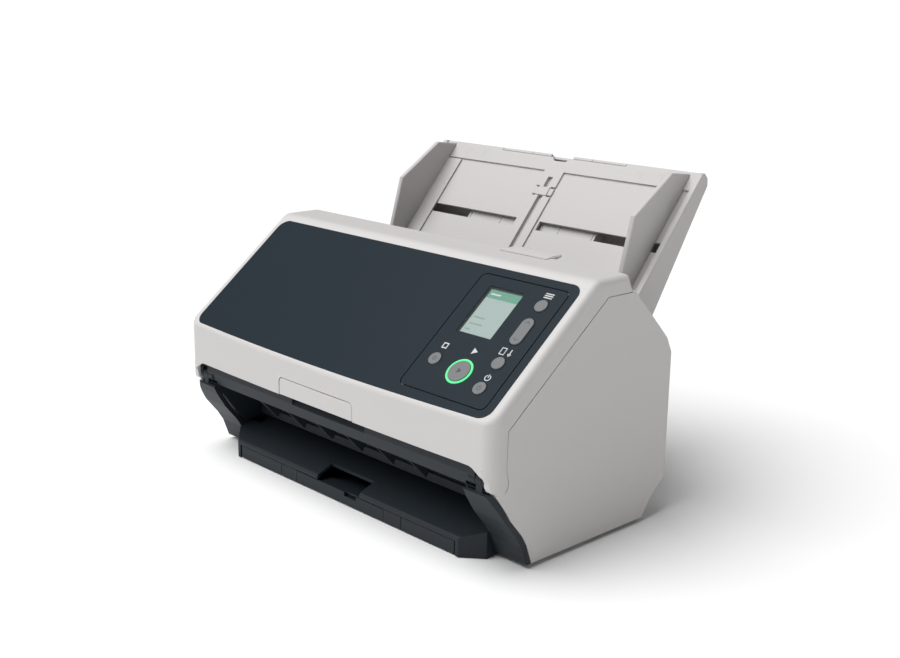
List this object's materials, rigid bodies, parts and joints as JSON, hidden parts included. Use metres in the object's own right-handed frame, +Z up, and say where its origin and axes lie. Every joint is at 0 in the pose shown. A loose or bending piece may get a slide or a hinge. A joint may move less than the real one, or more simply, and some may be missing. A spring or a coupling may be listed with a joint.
{
  "type": "sheet-fed document scanner",
  "caption": "Desktop sheet-fed document scanner with a rear paper chute, sliding side guides, a tilting upper unit with a control panel, and an extending front stacker.",
  "frame": {"origin": "on the table, under the middle of the object's overall box", "axes": "+X to the user's right, +Y to the back, +Z up"},
  "size_m": [0.3, 0.2262, 0.21],
  "materials": {
    "shell_white": "fine matte texture",
    "chute_white": "fine matte texture",
    "panel_dark": "satin",
    "frame_dark": "matte",
    "key_grey": "satin",
    "lamp_green": "light guide",
    "screen_glass": "clear",
    "sensor_glass": "clear",
    "screen_body": "matte",
    "sensor_body": "matte",
    "board": "lacquered",
    "socket_black": "matte",
    "rubber_dark": "matte",
    "idler_plastic": "matte",
    "steel": "ground",
    "gear_plastic": "moulded",
    "motor_metal": "painted"
  },
  "bodies": {
    "lower_unit": {"left_side_cover": "shell_white", "right_side_cover": "shell_white", "rear_cover": "shell_white", "base_pan": "frame_dark", "rubber_feet": "rubber_dark", "front_frame": "frame_dark", "hinge_pins": "steel", "lower_paper_guide": "frame_dark", "left_side_frame": "steel", "right_side_frame": "steel", "lower_image_sensor": "sensor_body", "lower_sensor_glass": "sensor_glass", "feed_motor": "motor_metal", "drive_belts": "rubber_dark", "pick_motor": "motor_metal", "main_board": "board", "rear_sockets": "socket_black", "case_screws": "steel", "chute_tray": "chute_white", "chute_back": "chute_white", "stacker_tray": "frame_dark"},
    "upper_unit": {"top_cover": "shell_white", "front_panel": "panel_dark", "control_panel": "panel_dark", "screen_window": "screen_glass", "screen_module": "screen_body", "scan_ring": "lamp_green", "control_board": "board", "front_trim": "frame_dark", "cover_inner_frame": "frame_dark", "upper_image_sensor": "sensor_body", "upper_sensor_glass": "sensor_glass"},
    "release_lever": {"cover_release": "shell_white"},
    "front_flap": {"front_flap": "shell_white"},
    "menu_button": {"menu_button": "key_grey"},
    "stop_button": {"stop_button": "key_grey"},
    "manual_feed_button": {"manual_feed_button": "key_grey"},
    "power_button": {"power_button": "key_grey"},
    "scan_button": {"scan_button": "key_grey"},
    "up_down_button": {"up_down_button": "key_grey"},
    "brake_roller": {"brake_roller": "rubber_dark"},
    "feed_idlers": {"feed_idlers": "idler_plastic"},
    "eject_idlers": {"eject_idlers": "idler_plastic"},
    "pick_rollers": {"pick_shaft": "steel", "pick_tyres": "rubber_dark"},
    "feed_rollers": {"feed_shaft": "steel", "feed_tyres": "rubber_dark", "feed_pulley": "gear_plastic"},
    "eject_rollers": {"eject_shaft": "steel", "eject_tyres": "rubber_dark", "eject_pulley": "gear_plastic"},
    "motor_pulley": {"motor_pulley": "gear_plastic"},
    "chute_extension_1": {"chute_extension_1": "chute_white"},
    "chute_extension_2": {"chute_extension_2": "chute_white"},
    "left_side_guide": {"left_side_guide": "chute_white"},
    "right_side_guide": {"right_side_guide": "chute_white"},
    "guide_pinion": {"guide_pinion": "gear_plastic"},
    "stacker_extension_1": {"stacker_extension_1": "frame_dark"},
    "stacker_extension_2": {"stacker_extension_2": "frame_dark"},
    "stopper": {"stopper": "frame_dark"}
  },
  "joints": [
    {"name": "cover_hinge", "type": "hinge", "parent": "lower_unit", "child": "upper_unit", "pos_m": [0, -0.103, 0.0575], "axis": [1, 0, 0], "range_deg": [0, 75]},
    {"name": "release_lever_pivot", "type": "hinge", "parent": "upper_unit", "child": "release_lever", "pos_m": [0, -0.008, 0.155], "axis": [1, 0, 0], "range_deg": [0, 5], "stiffness_Nm_per_rad": 1, "springref_deg": -8.59},
    {"name": "front_flap_hinge", "type": "hinge", "parent": "upper_unit", "child": "front_flap", "pos_m": [0, -0.1121, 0.0772], "axis": [-1, 0, 0], "range_deg": [0, 60]},
    {"name": "menu_button_press", "type": "slide", "parent": "upper_unit", "child": "menu_button", "axis": [0, 0.6285, -0.7778], "range_m": [0, 0.0008], "stiffness_N_per_m": 400, "springref_m": -0.0003},
    {"name": "stop_button_press", "type": "slide", "parent": "upper_unit", "child": "stop_button", "axis": [0, 0.6285, -0.7778], "range_m": [0, 0.0008], "stiffness_N_per_m": 400, "springref_m": -0.0003},
    {"name": "manual_feed_button_press", "type": "slide", "parent": "upper_unit", "child": "manual_feed_button", "axis": [0, 0.6285, -0.7778], "range_m": [0, 0.0008], "stiffness_N_per_m": 400, "springref_m": -0.0003},
    {"name": "power_button_press", "type": "slide", "parent": "upper_unit", "child": "power_button", "axis": [0, 0.6285, -0.7778], "range_m": [0, 0.0008], "stiffness_N_per_m": 400, "springref_m": -0.0003},
    {"name": "scan_button_press", "type": "slide", "parent": "upper_unit", "child": "scan_button", "axis": [0, 0.6285, -0.7778], "range_m": [0, 0.0008], "stiffness_N_per_m": 400, "springref_m": -0.0003},
    {"name": "up_down_button_rock", "type": "hinge", "parent": "upper_unit", "child": "up_down_button", "pos_m": [0.1246, -0.06076, 0.13104], "axis": [1, 0, 0], "range_deg": [-3, 3], "stiffness_Nm_per_rad": 0.15},
    {"name": "brake_roller_spin", "type": "hinge", "parent": "upper_unit", "child": "brake_roller", "pos_m": [0, 0.00907, 0.10709], "axis": [1, 0, 0], "continuous": true},
    {"name": "feed_idlers_spin", "type": "hinge", "parent": "upper_unit", "child": "feed_idlers", "pos_m": [0, -0.00836, 0.08231], "axis": [1, 0, 0], "continuous": true},
    {"name": "eject_idlers_spin", "type": "hinge", "parent": "upper_unit", "child": "eject_idlers", "pos_m": [0, -0.06153, 0.04187], "axis": [1, 0, 0], "continuous": true},
    {"name": "pick_rollers_spin", "type": "hinge", "parent": "lower_unit", "child": "pick_rollers", "pos_m": [0, 0.02823, 0.09675], "axis": [1, 0, 0], "continuous": true},
    {"name": "feed_rollers_spin", "type": "hinge", "parent": "lower_unit", "child": "feed_rollers", "pos_m": [0, 0.00125, 0.07105], "axis": [1, 0, 0], "continuous": true},
    {"name": "eject_rollers_spin", "type": "hinge", "parent": "lower_unit", "child": "eject_rollers", "pos_m": [0, -0.05517, 0.03077], "axis": [1, 0, 0], "continuous": true},
    {"name": "motor_pulley_spin", "type": "hinge", "parent": "lower_unit", "child": "motor_pulley", "pos_m": [0, 0.02, 0.047], "axis": [1, 0, 0], "continuous": true},
    {"name": "chute_extension_1_slide", "type": "slide", "parent": "lower_unit", "child": "chute_extension_1", "axis": [0, 0.6468, 0.7627], "range_m": [0, 0.07]},
    {"name": "chute_extension_2_slide", "type": "slide", "parent": "chute_extension_1", "child": "chute_extension_2", "axis": [0, 0.6468, 0.7627], "range_m": [0, 0.055]},
    {"name": "left_side_guide_slide", "type": "slide", "parent": "lower_unit", "child": "left_side_guide", "axis": [1, 0, 0], "range_m": [0, 0.082]},
    {"name": "right_side_guide_slide", "type": "slide", "parent": "lower_unit", "child": "right_side_guide", "axis": [-1, 0, 0], "range_m": [0, 0.082]},
    {"name": "guide_pinion_spin", "type": "hinge", "parent": "lower_unit", "child": "guide_pinion", "pos_m": [0, 0.07401, 0.16196], "axis": [0, -0.7627, 0.6468], "range_deg": [-675, 5]},
    {"name": "stacker_extension_1_slide", "type": "slide", "parent": "lower_unit", "child": "stacker_extension_1", "axis": [0, -1, 0], "range_m": [0, 0.065]},
    {"name": "stacker_extension_2_slide", "type": "slide", "parent": "stacker_extension_1", "child": "stacker_extension_2", "axis": [0, -1, 0], "range_m": [0, 0.06]},
    {"name": "stopper_hinge", "type": "hinge", "parent": "stacker_extension_2", "child": "stopper", "pos_m": [0, -0.0942, 0.0076], "axis": [1, 0, 0], "range_deg": [0, 90]}
  ],
  "couplings": [
    {"joint": "motor_pulley_spin", "follows": "feed_rollers_spin", "ratio": 1.5},
    {"joint": "eject_rollers_spin", "follows": "feed_rollers_spin", "ratio": 1.1429},
    {"joint": "right_side_guide_slide", "follows": "left_side_guide_slide", "ratio": 1},
    {"joint": "guide_pinion_spin", "follows": "left_side_guide_slide", "rad_per_m": -142.86}
  ]
}
